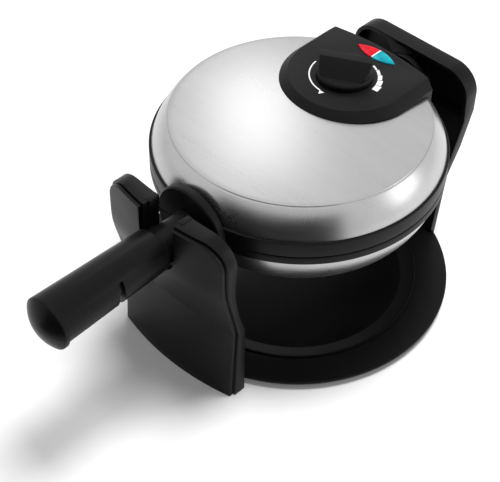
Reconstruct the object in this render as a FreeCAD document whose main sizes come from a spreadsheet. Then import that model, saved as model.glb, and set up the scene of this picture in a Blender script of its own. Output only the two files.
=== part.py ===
import FreeCAD, Part
import math
import os
import re
import Sketcher

# Round flip-over waffle maker. Millimetres, +Z up, table at z = 0.
# The iron's upright axis is the Z axis, the handle points along -Y and the iron turns about Y.

# Driving sizes
SIZES = {
    # turning axis and iron
    "axis_z": 120.0,
    "rim_r": 103.4,
    "band_proud": 1.8,
    "band_up": 12.2,
    "band_low": 6.6,
    "part_gap": 0.3,
    "bevel_in": 11.6,
    "crease_rise": 33.0,
    "crown_rise": 4.5,
    "bevel_r": 55.0,
    "skin": 1.0,
    "dome_lip": 1.2,
    "rim_wall": 6.0,
    "ledge_w": 4.4,
    "ledge_z": 3.6,
    "ledge_t": 2.5,
    "fit": 0.15,
    # waffle plates, heaters and reflectors
    "flange_gap": 0.3,
    "flange_z": 1.0,
    "plate_gap": 0.6,
    "pan_slope": 2.4,
    "pan_z": 12.0,
    "plate_t": 3.0,
    "peg_pitch": 15.5,
    "peg_base": 10.0,
    "peg_top": 8.0,
    "peg_tall": 8.0,
    "divider_w": 3.0,
    "divider_end": 0.5,
    "heater_in": 28.0,
    "heater_tube_r": 4.0,
    "reflector_in": 6.0,
    "reflector_z": 24.0,
    "reflector_t": 1.0,
    "standoff_r": 3.5,
    "standoff_in": 15.0,
    "screw_r": 1.5,
    "screw_head_r": 2.2,
    "screw_hole_gap": 0.05,
    # collar, neck and grip
    "collar_r": 30.0,
    "collar_t": 2.8,
    "collar_deep": 3.2,
    "collar_edge": 1.2,
    "neck_r": 12.5,
    "core_r": 5.0,
    "core_gap": 0.5,
    "core_back_gap": 1.0,
    "core_in": 17.0,
    "neck_long": 31.3,
    "grip_long": 96.7,
    "grip_back_r": 16.6,
    "grip_end_r": 19.2,
    "grip_edge": 1.2,
    "grip_dome": 7.0,
    "grip_wall_end": 5.0,
    "lock_slot_ahead": 38.0,
    "lock_slot": 5.4,
    "split_gap": 0.25,
    # lid hinge and rear yoke
    "hinge_out": 1.8,
    "hinge_rise": 18.0,
    "pin_r": 2.5,
    "pin_run": 0.05,
    "pin_half": 25.0,
    "eye_r": 4.6,
    "lug_in": 18.0,
    "lug_out": 24.0,
    "leaf_half": 17.6,
    "leaf_t": 1.2,
    "yoke_r": 22.0,
    "yoke_ahead": 7.0,
    "yoke_t": 4.3,
    "lug_clear": 2.5,
    "lug_step": 2.0,
    "yoke_drop": 12.0,
    "trunnion_r": 8.0,
    "trunnion_run": 0.05,
    "trunnion_sunk": 2.0,
    "trunnion_in": 2.0,
    "clip_r": 12.0,
    "clip_t": 1.4,
    # control panel, lenses and knob
    "panel_half": 49.3,
    "panel_back": 89.0,
    "panel_rear_r": 207.0,
    "panel_shoulder": 50.0,
    "panel_top": 43.0,
    "panel_skirt": 20.0,
    "panel_bevel": 6.0,
    "panel_wall": 3.0,
    "panel_side_wall": 7.2,
    "lens_y": 79.5,
    "lens_half": 17.2,
    "lens_w": 5.5,
    "lens_split": 0.4,
    "lens_proud": 0.7,
    "lens_deep": 3.0,
    "lamp_half": 13.0,
    "lamp_w": 3.8,
    "lamp_t": 3.0,
    "knob_y": 45.5,
    "knob_gap": 0.4,
    "knob_r": 20.4,
    "knob_skirt": 3.4,
    "knob_shoulder": 1.2,
    "knob_disc": 4.8,
    "knob_tall": 15.8,
    "knob_bar_in": 1.6,
    "knob_ridge_half": 3.4,
    "knob_foot_half": 15.0,
    "knob_rest": 28.6,
    "shaft_r": 3.0,
    "shaft_run": 0.05,
    "shaft_top": 9.0,
    "shaft_low": 22.0,
    "shaft_hole_r": 4.5,
    "thermostat_play": 1.0,
    "thermostat_x": 22.0,
    "thermostat_y": 18.0,
    "thermostat_tall": 14.0,
    "thermostat_neck_r": 5.0,
    "thermostat_neck": 4.0,
    # base and drip tray
    "foot_h": 1.4,
    "foot_r": 8.0,
    "foot_in": 20.0,
    "base_proud": 14.6,
    "base_taper": 5.0,
    "base_edge_z": 7.0,
    "base_lip": 2.2,
    "seat_z": 2.9,
    "base_ring_w": 24.1,
    "tray_slope": 9.9,
    "tray_gap": 1.2,
    "tray_rim_z": 6.0,
    "tray_wall": 1.3,
    "tray_lip": 0.6,
    # front post
    "post_half": 55.4,
    "post_wide": 57.0,
    "post_clear": 6.5,
    "post_back_r": 300.0,
    "post_top_z": 148.0,
    "post_spare": 4.0,
    "foot_deep": 14.7,
    "foot_plan_r": 208.0,
    "valley_z": 62.0,
    "valley_deep": 8.1,
    "valley_plan_r": 380.0,
    "swell_z": 82.6,
    "swell_deep": 14.6,
    "swell_plan_r": 260.0,
    "swell_back_in": 5.0,
    "swell_back_r": 400.0,
    "brow_z": 105.0,
    "brow_deep": 21.8,
    "brow_plan_r": 190.0,
    "ear_z": 127.0,
    "ear_deep": 22.7,
    "ear_plan_r": 184.0,
    "ear_back_in": 9.0,
    "ear_back_r": 500.0,
    "ear_corner_r": 20.0,
    "notch_half": 14.4,
    "cover_t": 3.2,
    "cover_gap": 0.3,
    "cover_inset": 1.8,
    "saddle_gap": 0.6,
    "saddle_top": 4.0,
    "saddle_back_in": 1.0,
    "saddle_front_in": 4.2,
    # rear tower
    "tower_half": 54.0,
    "tower_top_z": 147.5,
    "tower_clear": 2.7,
    "tower_deep": 13.5,
    "tower_corner_r": 20.0,
    "tower_foot_in": 17.0,
    "tower_foot_t": 5.5,
    "tower_kink_z": 60.0,
    "tower_kink_out": 6.5,
    "tower_lean_z": 82.0,
    "tower_lean_in": 10.0,
    "tower_neck_z": 112.0,
    "tower_kink_t": 4.0,
    "tower_sill_z": 106.0,
    "tower_sill_in": 3.0,
    "recess_low_z": 109.0,
    "tower_wall": 3.0,
    "recess_deep": 9.5,
    "boss_r": 15.0,
    "boss_in": 1.0,
    "bush_r": 11.0,
    "cap_r": 18.0,
    "cap_t": 1.6,
    "cap_screw_ring_r": 14.4,
    "cap_screw_long": 9.5,
    "cap_screw_play": 1.0,
    "gland_x": 30.0,
    "gland_z": 30.0,
    "gland_r": 6.0,
    "gland_bore_r": 3.2,
    "gland_proud": 11.5,
    "gland_ahead": 0.5,
}

# Sizes that follow from others
FOLLOWS = {
    "band_r": "rim_r + band_proud",
    "crease_r": "rim_r - bevel_in",
    "rim_in": "rim_r - rim_wall",
    "ledge_r": "rim_in - ledge_w",
    "flange_r": "rim_in - flange_gap",
    "neck_plate_r": "ledge_r - plate_gap",
    "pan_r": "neck_plate_r - pan_slope",
    "screw_ring_r": "ledge_r + ledge_w / 2",
    "heater_ring_r": "pan_r - heater_in",
    "reflector_r": "pan_r - reflector_in",
    "standoff_ring_r": "pan_r - standoff_in",
    "collar_front": "band_r + collar_t",
    "collar_back": "band_r - collar_deep",
    "core_back": "band_r + core_back_gap",
    "grip_back": "collar_front + neck_long",
    "grip_end": "grip_back + grip_long",
    "core_end": "grip_end - core_in",
    "lock_slot_back": "grip_back + lock_slot_ahead",
    "hinge_y": "band_r + hinge_out",
    "lug_front": "band_r + lug_clear",
    "yoke_front": "hinge_y + yoke_ahead",
    "yoke_back": "yoke_front + yoke_t",
    "trunnion_front": "yoke_front - trunnion_sunk",
    "trunnion_back": "tower_back - trunnion_in",
    "base_r": "rim_r + base_proud",
    "foot_ring_r": "base_r - foot_in",
    "tray_r": "base_r - base_ring_w",
    "tray_floor_r": "tray_r - tray_slope",
    "post_back_up": "collar_front + post_clear",
    "foot_front": "post_back_up + foot_deep",
    "valley_front": "post_back_up + valley_deep",
    "swell_front": "post_back_up + swell_deep",
    "swell_back": "post_back_up + swell_back_in",
    "brow_front": "post_back_up + brow_deep",
    "ear_front": "post_back_up + ear_deep",
    "ear_back": "post_back_up + ear_back_in",
    "saddle_back": "ear_back + saddle_back_in",
    "saddle_front": "ear_front - saddle_front_in",
    "tower_front": "yoke_back + tower_clear",
    "tower_back": "tower_front + tower_deep",
    "tower_foot_front": "base_r - tower_foot_in",
    "tower_foot_back": "tower_foot_front + tower_foot_t",
    "tower_kink_back": "tower_foot_back + tower_kink_out",
    "tower_kink_front": "tower_kink_back - tower_kink_t",
    "tower_lean_back": "tower_back - tower_lean_in",
    "tower_sill_front": "tower_front + tower_sill_in",
    "boss_front": "tower_front + boss_in",
    "cap_screw_end": "tower_back - cap_screw_long",
    "gland_front": "tower_foot_back + gland_ahead",
    "gland_back": "tower_foot_back + gland_proud",
}

# Two places closer than this, in mm, count as the same when an edge is looked for
NEAR = 0.01

doc = FreeCAD.newDocument("waffle_maker")
dim = doc.addObject("Spreadsheet::Sheet", "dim")
for row, (name, value) in enumerate(SIZES.items(), 1):
    dim.set("A%d" % row, str(value))
    dim.setAlias("A%d" % row, name)
doc.recompute()

nodes = []


def bound(text):
    """An expression in plain size names, pointed at the sheet's cells."""
    def cell(match):
        word = match.group(0)
        if word in FOLLOWS:
            return "(%s)" % bound(FOLLOWS[word])
        return "dim." + word if word in SIZES else word
    return re.sub(r"[a-z][a-z_]+", cell, str(text))


def size(text):
    """The number that an expression in size names stands for."""
    return float(dim.evalExpression(bound(text)))


def body(label, lift="0"):
    """An empty sub-part whose own origin sits lift above the table."""
    made = doc.addObject("PartDesign::Body", label)
    made.Label = label
    made.setExpression("Placement.Base.z", bound(lift))
    nodes.append(made)
    return made


def sketch_loop(made, points):
    """Adds one closed outline to a sketch, each corner bound to the sheet."""
    lead = made.GeometryCount
    corners = [FreeCAD.Vector(size(p[0]), size(p[1]), 0) for p in points]
    ends = []
    for i, point in enumerate(points):
        start = corners[i]
        stop = corners[(i + 1) % len(corners)]
        if len(point) == 2:
            made.addGeometry(Part.LineSegment(start, stop), False)
            ends.append((1, 2))
            continue
        radius = size(point[2])
        chord = stop - start
        left = FreeCAD.Vector(-chord.y, chord.x, 0).normalize()
        depth = math.sqrt(max(radius ** 2 - chord.Length ** 2 / 4, 0))
        middle = (start + stop) / 2 + left * math.copysign(depth, radius)
        first, last = (start, stop) if radius > 0 else (stop, start)
        angles = [math.atan2(p.y - middle.y, p.x - middle.x) for p in (first, last)]
        circle = Part.Circle(middle, FreeCAD.Vector(0, 0, 1), abs(radius))
        made.addGeometry(Part.ArcOfCircle(circle, angles[0], angles[1]), False)
        ends.append((1, 2) if radius > 0 else (2, 1))
    for i, point in enumerate(points):
        here = lead + i
        following = (i + 1) % len(points)
        made.addConstraint(
            Sketcher.Constraint("Coincident", here, ends[i][1], lead + following, ends[following][0]))
        for kind, text, value in zip(("DistanceX", "DistanceY"), point, corners[i]):
            place = made.addConstraint(Sketcher.Constraint(kind, -1, 1, here, ends[i][0], value))
            made.setExpression("Constraints[%d]" % place, bound(text))
        if len(point) == 3:
            place = made.addConstraint(Sketcher.Constraint("Radius", here, abs(size(point[2]))))
            made.setExpression("Constraints[%d]" % place, bound("abs(%s)" % point[2]))


def sketch(owner, plane, points=(), circles=(), offset="0", hole=()):
    """Closed outlines on one of the sub-part's origin planes.

    A point is (x, y), or (x, y, radius) where the stretch to the next point is an arc:
    a positive radius turns left along the outline and a negative one turns right.
    A circle is (x, y, radius), and hole is an outline inside the first one.
    """
    made = owner.newObject("Sketcher::SketchObject", owner.Name + "_sketch")
    base = next(f for f in owner.Origin.OriginFeatures if f.Role == plane)
    made.AttachmentSupport = [(base, "")]
    made.MapMode = "FlatFace"
    made.setExpression("AttachmentOffset.Base.z", bound(offset))
    for loop in (points, hole):
        sketch_loop(made, loop)
    for x, y, radius in circles:
        centre = FreeCAD.Vector(size(x), size(y), 0)
        index = made.addGeometry(Part.Circle(centre, FreeCAD.Vector(0, 0, 1), size(radius)), False)
        for kind, text, value in (("DistanceX", x, centre.x), ("DistanceY", y, centre.y)):
            place = made.addConstraint(Sketcher.Constraint(kind, -1, 1, index, 3, value))
            made.setExpression("Constraints[%d]" % place, bound(text))
        place = made.addConstraint(Sketcher.Constraint("Radius", index, size(radius)))
        made.setExpression("Constraints[%d]" % place, bound(radius))
    return made


def pad(owner, profile, length, side="One side"):
    """Material raised from an outline along its plane's normal."""
    made = owner.newObject("PartDesign::Pad", owner.Name + "_pad")
    made.Profile = profile
    made.SideType = side
    made.setExpression("Length", bound(length))
    return made


def sink(owner, profile, depth=None, towards_normal=False):
    """Material cut out under an outline: right through both ways, or to a depth."""
    doc.recompute()
    before = owner.Shape.Volume
    made = owner.newObject("PartDesign::Pocket", owner.Name + "_pocket")
    made.Profile = profile
    if depth is None:
        made.Type = "ThroughAll"
        made.SideType = "Symmetric"
    else:
        made.Reversed = towards_normal
        made.setExpression("Length", bound(depth))
    doc.recompute()
    if owner.Shape.Volume >= before:
        raise RuntimeError("a cut in %s removed nothing" % owner.Label)
    return made


def turn(owner, profile, degrees=360, other_way=False):
    """Material turned about the outline's upright axis."""
    made = owner.newObject("PartDesign::Revolution", owner.Name + "_turned")
    made.Profile = profile
    made.ReferenceAxis = (profile, ["V_Axis"])
    made.Angle = degrees
    made.Reversed = other_way
    return made


def groove(owner, profile):
    """Material cut away all round the outline's upright axis."""
    doc.recompute()
    before = owner.Shape.Volume
    made = owner.newObject("PartDesign::Groove", owner.Name + "_groove")
    made.Profile = profile
    made.ReferenceAxis = (profile, ["V_Axis"])
    made.Angle = 360
    doc.recompute()
    if owner.Shape.Volume >= before:
        raise RuntimeError("a groove in %s removed nothing" % owner.Label)
    return made


def dress(owner, kind, amount, chosen):
    """A Fillet or Chamfer on the edges that chosen accepts."""
    doc.recompute()
    base = owner.Tip
    edges = ["Edge%d" % (i + 1) for i, edge in enumerate(base.Shape.Edges) if chosen(edge)]
    made = owner.newObject("PartDesign::" + kind, owner.Name + "_" + kind.lower())
    made.Base = (base, edges)
    made.setExpression("Radius" if kind == "Fillet" else "Size", bound(amount))
    return made


def rod(radius, length, x="0", y="0", z="0", along="Z"):
    """A plain round bar whose first end is at x, y, z."""
    made = doc.addObject("Part::Cylinder", "rod")
    turned = {"Z": (0, 0, 1), "Y": (0, 1, 0), "X": (1, 0, 0)}[along]
    made.Placement.Rotation = FreeCAD.Rotation(FreeCAD.Vector(0, 0, 1), FreeCAD.Vector(*turned))
    made.setExpression("Radius", bound(radius))
    made.setExpression("Height", bound(length))
    for name, text in (("x", x), ("y", y), ("z", z)):
        made.setExpression("Placement.Base." + name, bound(text))
    return made


def node(made, label):
    """Names a finished Part object as a sub-part."""
    made.Label = label
    nodes.append(made)
    return made


def group(label, pieces):
    """Several like solids that share one sub-part."""
    made = doc.addObject("Part::Compound", label)
    made.Links = pieces
    return node(made, label)


def ring_of(count, radius, start):
    """Places round a circle, as pairs of expressions."""
    angles = [start + 360.0 / count * i for i in range(count)]
    return [("%s * cos(%g)" % (radius, a), "%s * sin(%g)" % (radius, a)) for a in angles]


# The iron's outer outline, from its middle plane to its crown: side is 1 for the lid and -1 below.
CROWN_R = "((crease_r)^2 + crown_rise^2) / (2 * crown_rise)"


def envelope(side, gap):
    band = "band_up" if side > 0 else "band_low"

    def up(text):
        return "%d * (%s)" % (side, text)
    return [
        ("0", up("-part_gap")),
        ("band_r + %s" % gap, up("-part_gap")),
        ("band_r + %s" % gap, up("%s + %s" % (band, gap))),
        ("rim_r + %s" % gap, up("%s + %s" % (band, gap)), up("bevel_r")),
        ("crease_r + %s" % gap, up("crease_rise + %s" % gap), up(CROWN_R)),
        ("0", up("crease_rise + crown_rise + %s" % gap)),
    ]


def clear_of_iron(owner, side):
    """Cuts a sub-part back from the iron's outside by the seating gap."""
    groove(owner, sketch(owner, "XZ_Plane", envelope(side, "fit")))


# Base, feet and drip tray
def make_base():
    made = body("stand_base")
    turn(made, sketch(made, "XZ_Plane", [
        ("0", "foot_h"),
        ("base_r - base_taper", "foot_h"),
        ("base_r", "base_edge_z - base_lip"),
        ("base_r", "base_edge_z"),
        ("tray_r + tray_gap", "tray_rim_z"),
        ("tray_floor_r + tray_gap", "seat_z"),
        ("0", "seat_z"),
    ]))
    post_side = "-(post_back_up - fit - (post_back_r - sqrt(post_back_r^2 - base_r^2)))"
    sink(made, sketch(made, "XY_Plane", [
        ("-base_r", "-base_r - base_lip"),
        ("base_r", "-base_r - base_lip"),
        ("base_r", post_side, "-post_back_r"),
        ("-base_r", post_side),
    ]))
    sink(made, sketch(made, "XY_Plane", [
        ("-tower_half", "tower_foot_front"),
        ("tower_half", "tower_foot_front"),
        ("tower_half", "base_r + base_lip"),
        ("-tower_half", "base_r + base_lip"),
    ]))


def make_feet():
    spots = ring_of(4, "foot_ring_r", 45) + [("0", "0")]
    group("rubber_feet", [rod("foot_r", "foot_h", x, y) for x, y in spots])


def make_tray():
    made = body("drip_tray")
    turn(made, sketch(made, "XZ_Plane", [
        ("0", "seat_z"),
        ("tray_floor_r", "seat_z"),
        ("tray_r", "tray_rim_z"),
        ("tray_r", "tray_rim_z + tray_lip"),
        ("tray_r - tray_wall", "tray_rim_z + tray_lip"),
        ("tray_floor_r - tray_wall", "seat_z + tray_wall"),
        ("0", "seat_z + tray_wall"),
    ]))


# Front post: a shell and the inset cover on its front, both bowed in plan.
# A level is its height, the front's middle and bow radius, and the back's middle and bow radius.
VALLEY = ("valley_z", "valley_front", "valley_plan_r", "post_back_up", "post_back_r")
POST_FOOT = [("0", "foot_front", "foot_plan_r", "post_back_up", "post_back_r"), VALLEY]
POST_LEVELS = [
    VALLEY,
    ("swell_z", "swell_front", "swell_plan_r", "swell_back", "swell_back_r"),
    ("brow_z", "brow_front", "brow_plan_r", "ear_back", "ear_back_r"),
    ("ear_z", "ear_front", "ear_plan_r", "ear_back", "ear_back_r"),
    ("post_top_z + post_spare", "ear_front", "ear_plan_r", "ear_back", "ear_back_r"),
]


def at_side(middle, radius):
    """Where a bowed face comes out at the post's sides, given its middle."""
    return "-(%s - %s + sqrt(%s^2 - post_wide^2))" % (middle, radius, radius)


def post_section(owner, level, in_front):
    height, front, front_r, back, back_r = level
    near = at_side(front, front_r)
    seam = near + " + cover_t"
    if in_front:
        outline = [
            ("-post_wide", seam + " - cover_gap"),
            ("-post_wide", near, front_r),
            ("post_wide", near),
            ("post_wide", seam + " - cover_gap", "-" + front_r),
        ]
    else:
        outline = [
            ("-post_wide", at_side(back, back_r)),
            ("-post_wide", seam, front_r),
            ("post_wide", seam),
            ("post_wide", at_side(back, back_r), "-" + back_r),
        ]
    return sketch(owner, "XY_Plane", outline, offset=height)


def post_loft(owner, levels, in_front):
    sections = [post_section(owner, level, in_front) for level in levels]
    made = owner.newObject("PartDesign::AdditiveLoft", owner.Name + "_loft")
    made.Profile = sections[0]
    made.Sections = sections[1:]
    return made


def post_trim(owner, inset):
    """Cuts the post's front outline: straight sides, rounded ears and the notch that the neck lies in."""
    half = "(post_half - %s)" % inset
    top = "(post_top_z - %s)" % inset
    shoulder = "post_top_z - ear_corner_r"
    round_r = "(ear_corner_r - %s)" % inset
    notch = "(notch_half + %s)" % inset
    outline = [
        (half, "-post_spare"),
        (half, shoulder, round_r),
        ("post_half - ear_corner_r", top),
        (notch, top),
        (notch, "axis_z", "-" + notch),
        ("0", "axis_z - " + notch, "-" + notch),
        ("-" + notch, "axis_z"),
        ("-" + notch, top),
        ("ear_corner_r - post_half", top, round_r),
        ("-" + half, shoulder),
        ("-" + half, "-post_spare"),
    ]
    sink(owner, sketch(owner, "XZ_Plane", [
        ("-2 * post_half", "-post_half"),
        ("2 * post_half", "-post_half"),
        ("2 * post_half", "2 * post_top_z"),
        ("-2 * post_half", "2 * post_top_z"),
    ], hole=outline))


def make_post():
    pieces = [
        ("front_post_shell", False, "0"),
        ("front_post_cover", True, "cover_inset"),
    ]
    for label, in_front, inset in pieces:
        made = body(label)
        post_loft(made, POST_FOOT, in_front)
        post_loft(made, POST_LEVELS, in_front)
        post_trim(made, inset)


def make_saddle():
    made = body("front_saddle")
    inner = "(neck_r + saddle_gap)"
    rise = "axis_z + saddle_top"
    pad(made, sketch(made, "XZ_Plane", [
        ("-notch_half", rise),
        ("-notch_half", "axis_z", "notch_half"),
        ("0", "axis_z - notch_half", "notch_half"),
        ("notch_half", "axis_z"),
        ("notch_half", rise),
        (inner, rise),
        (inner, "axis_z", "-" + inner),
        ("0", "axis_z - " + inner, "-" + inner),
        ("-" + inner, "axis_z"),
        ("-" + inner, rise),
    ], offset="saddle_back"), "saddle_front - saddle_back")


# Rear tower: an upright tray open towards the iron, on a leg that leans back
def make_tower():
    made = body("rear_tower_shell")
    pad(made, sketch(made, "YZ_Plane", [
        ("tower_foot_front", "0"),
        ("tower_foot_back", "0"),
        ("tower_kink_back", "tower_kink_z"),
        ("tower_lean_back", "tower_lean_z"),
        ("tower_back", "tower_neck_z"),
        ("tower_back", "tower_top_z"),
        ("tower_front", "tower_top_z"),
        ("tower_sill_front", "tower_sill_z"),
        ("tower_kink_front", "tower_kink_z + tower_wall"),
    ]), "2 * tower_half", "Symmetric")
    top = size("tower_top_z")
    half = size("tower_half")

    def top_corner(edge):
        box = edge.BoundBox
        at_corner = abs(abs(box.Center.x) - half) < NEAR and abs(box.Center.z - top) < NEAR
        return at_corner and box.XLength < NEAR
    dress(made, "Fillet", "tower_corner_r", top_corner)
    inside = "tower_half - tower_wall"
    round_in = "tower_corner_r - tower_wall"
    high = "tower_top_z - tower_wall"
    sink(made, sketch(made, "XZ_Plane", [
        ("-(%s)" % inside, "recess_low_z"),
        (inside, "recess_low_z"),
        (inside, "tower_top_z - tower_corner_r", round_in),
        ("tower_half - tower_corner_r", high),
        ("tower_corner_r - tower_half", high, round_in),
        ("-(%s)" % inside, "tower_top_z - tower_corner_r"),
    ], offset="-tower_front"), "recess_deep")
    pad(made, sketch(made, "XZ_Plane", circles=[("0", "axis_z", "boss_r")],
                     offset="-tower_front - recess_deep"), "tower_front + recess_deep - boss_front")
    sink(made, sketch(made, "XZ_Plane", circles=[("0", "axis_z", "bush_r + screw_hole_gap")]))
    seat = [("0", "axis_z", "cap_r + screw_hole_gap")]
    sink(made, sketch(made, "XZ_Plane", circles=seat, offset="-tower_back"), "cap_t", towards_normal=True)
    holes = [(x, "axis_z + " + z, "screw_r + screw_hole_gap") for x, z in ring_of(3, "cap_screw_ring_r", 90)]
    sink(made, sketch(made, "XZ_Plane", circles=holes, offset="-tower_back"),
         "tower_back - cap_screw_end + cap_screw_play", towards_normal=True)
    gland = sketch(made, "XZ_Plane", circles=[("gland_x", "gland_z", "gland_r + screw_hole_gap")])
    sink(made, gland)


def make_bearing():
    made = body("rear_bush", "axis_z")
    ring = sketch(made, "XZ_Plane", circles=[("0", "0", "bush_r"), ("0", "0", "trunnion_r + trunnion_run")],
                  offset="-tower_back + cap_t")
    pad(made, ring, "tower_back - cap_t - boss_front")
    cap = body("bearing_cap", "axis_z")
    holes = [(x, z, "screw_r + screw_hole_gap") for x, z in ring_of(3, "cap_screw_ring_r", 90)]
    pad(cap, sketch(cap, "XZ_Plane", circles=[("0", "0", "cap_r")] + holes, offset="-tower_back"), "cap_t")
    screws = [rod("screw_r", "tower_back - cap_screw_end", x, "cap_screw_end", "axis_z + " + z, "Y")
              for x, z in ring_of(3, "cap_screw_ring_r", 90)]
    group("cap_screws", screws)


def make_gland():
    made = body("cord_gland", "gland_z")
    ring = [("gland_x", "0", "gland_r"), ("gland_x", "0", "gland_bore_r")]
    pad(made, sketch(made, "XZ_Plane", circles=ring, offset="-gland_back"), "gland_back - gland_front")


# What both iron halves have: dome, rim band, waffle plate, heater, reflector, standoffs and screws
def half_name(side, piece):
    return ("upper_" if side > 0 else "lower_") + piece


def make_dome(side):
    made = body(half_name(side, "dome"), "axis_z")
    outside = envelope(side, "0")[3:]
    inner_crown = "((crease_r - skin)^2 + crown_rise^2) / (2 * crown_rise)"

    def up(text):
        return "%d * (%s)" % (side, text)
    band = "band_up" if side > 0 else "band_low"
    inside = [
        ("0", up("crease_rise + crown_rise - skin"), up("-" + inner_crown)),
        ("crease_r - skin", up("crease_rise - skin"), up("-(bevel_r - skin)")),
        ("rim_r - dome_lip", up(band)),
    ]
    turn(made, sketch(made, "XZ_Plane", outside + inside))
    if side > 0:
        sink(made, sketch(made, "XY_Plane", circles=[("0", "knob_y", "thermostat_neck_r + fit")]))


def make_rim(side):
    made = body(half_name(side, "rim"), "axis_z")
    band = "band_up" if side > 0 else "band_low"

    def up(text):
        return "%d * (%s)" % (side, text)
    turn(made, sketch(made, "XZ_Plane", [
        ("band_r", up("part_gap")),
        ("band_r", up(band)),
        ("rim_in", up(band)),
        ("rim_in", up("ledge_z + ledge_t")),
        ("ledge_r", up("ledge_z + ledge_t")),
        ("ledge_r", up("ledge_z")),
        ("rim_in", up("ledge_z")),
        ("rim_in", up("part_gap")),
    ]))
    holes = [(x, y, "screw_r + screw_hole_gap") for x, y in ring_of(4, "screw_ring_r", 45)]
    sink(made, sketch(made, "XY_Plane", circles=holes))


def make_plate(side):
    """A cast pan with a rim flange, a peg grid and a cross that divides the waffle in four."""
    profile = [
        (0, "pan_z"),
        ("pan_r - plate_t", "pan_z"),
        ("pan_r", "flange_z"),
        ("flange_r", "flange_z"),
        ("flange_r", "ledge_z"),
        ("neck_plate_r", "ledge_z"),
        ("pan_r", "pan_z + plate_t"),
        (0, "pan_z + plate_t"),
    ]
    corners = [FreeCAD.Vector(size(r), 0, size(z)) for r, z in profile]
    wire = Part.makePolygon(corners + corners[:1])
    pan = Part.Face(wire).revolve(FreeCAD.Vector(), FreeCAD.Vector(0, 0, 1), 360)
    pitch = size("peg_pitch")
    floor = size("pan_z")
    tip = floor - size("peg_tall")

    def square(half, z):
        spots = [(-half, -half), (half, -half), (half, half), (-half, half), (-half, -half)]
        return Part.makePolygon([FreeCAD.Vector(x, y, z) for x, y in spots])
    root = floor + size("plate_t") / 2
    spread = (size("peg_base") - size("peg_top")) / 2 / size("peg_tall")
    half_root = size("peg_base") / 2 + spread * (root - floor)
    peg = Part.makeLoft([square(half_root, root), square(size("peg_top") / 2, tip)], True)
    reach = size("pan_r - plate_t") - size("peg_base")
    count = int(reach / pitch) + 1
    steps = [(i + 0.5) * pitch for i in range(-count, count)]
    pegs = []
    for x in steps:
        for y in steps:
            if math.hypot(x, y) < reach:
                pegs.append(peg.translated(FreeCAD.Vector(x, y, 0)))
    wide = size("divider_w")
    long = 2 * size("pan_r - plate_t - divider_end")
    tall = root - tip
    walls = [
        Part.makeBox(long, wide, tall, FreeCAD.Vector(-long / 2, -wide / 2, tip)),
        Part.makeBox(wide, long, tall, FreeCAD.Vector(-wide / 2, -long / 2, tip)),
    ]
    shape = pan.multiFuse(pegs + walls).removeSplitter()
    hole = Part.makeCylinder(size("screw_r + screw_hole_gap"), size("pan_z"))
    for x, y in ring_of(4, "screw_ring_r", 45):
        shape = shape.cut(hole.translated(FreeCAD.Vector(size(x), size(y), 0)))
    if side < 0:
        shape = shape.mirror(FreeCAD.Vector(), FreeCAD.Vector(0, 0, 1))
    made = doc.addObject("Part::Feature", half_name(side, "plate"))
    made.Shape = shape
    made.setExpression("Placement.Base.z", bound("axis_z"))
    node(made, half_name(side, "plate"))


def make_heater(side):
    made = doc.addObject("Part::Torus", half_name(side, "heater"))
    made.setExpression("Radius1", bound("heater_ring_r"))
    made.setExpression("Radius2", bound("heater_tube_r"))
    rise = "%d * (pan_z + plate_t + heater_tube_r + fit)" % side
    made.setExpression("Placement.Base.z", bound("axis_z + " + rise))
    node(made, half_name(side, "heater"))


def make_reflector(side):
    made = body(half_name(side, "reflector"), "axis_z + %d * reflector_z" % side)
    disc = sketch(made, "XY_Plane", circles=[("0", "0", "reflector_r")])
    pad(made, disc, "reflector_t").Reversed = side < 0
    if side > 0:
        sink(made, sketch(made, "XY_Plane", [
            ("-thermostat_x / 2 - thermostat_play", "knob_y - thermostat_y / 2 - thermostat_play"),
            ("thermostat_x / 2 + thermostat_play", "knob_y - thermostat_y / 2 - thermostat_play"),
            ("thermostat_x / 2 + thermostat_play", "knob_y + thermostat_y / 2 + thermostat_play"),
            ("-thermostat_x / 2 - thermostat_play", "knob_y + thermostat_y / 2 + thermostat_play"),
        ]))


def make_fasteners(side):
    """Standoffs between plate and reflector, and the screws that hold the plate to the rim's ledge."""
    tall = "reflector_z - pan_z - plate_t"
    low = "axis_z + pan_z + plate_t" if side > 0 else "axis_z - reflector_z"
    spots = ring_of(4, "standoff_ring_r", 0)
    group(half_name(side, "standoffs"), [rod("standoff_r", tall, x, y, low) for x, y in spots])
    screws = []
    for x, y in ring_of(4, "screw_ring_r", 45):
        head_low = "axis_z + part_gap" if side > 0 else "axis_z - flange_z"
        shank_low = "axis_z + flange_z" if side > 0 else "axis_z - ledge_z - ledge_t"
        head = rod("screw_head_r", "flange_z - part_gap", x, y, head_low)
        shank = rod("screw_r", "ledge_z + ledge_t - flange_z", x, y, shank_low)
        screw = doc.addObject("Part::Fuse", "screw")
        screw.Base = head
        screw.Tool = shank
        screws.append(screw)
    group(half_name(side, "plate_screws"), screws)


# Collar, neck and grip, split level with the iron's parting line
def make_collar(side):
    made = body(half_name(side, "collar"), "axis_z" if side > 0 else "axis_z - split_gap")
    bore = "core_r + core_gap" if side > 0 else "core_r + screw_hole_gap"
    half = sketch(made, "XY_Plane", [
        (bore, "-grip_back"),
        ("neck_r", "-grip_back"),
        ("neck_r", "-collar_front"),
        ("collar_r - collar_edge", "-collar_front"),
        ("collar_r", "-collar_front + collar_edge"),
        ("collar_r", "-collar_back"),
        (bore, "-collar_back"),
    ])
    turn(made, half, 180, other_way=side > 0)
    clear_of_iron(made, side)


def grip_radius(along):
    """The grip swells evenly towards its nose."""
    return "(grip_back_r + (grip_end_r - grip_back_r) * (%s - grip_back) / (grip_end - grip_back))" % along


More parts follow.
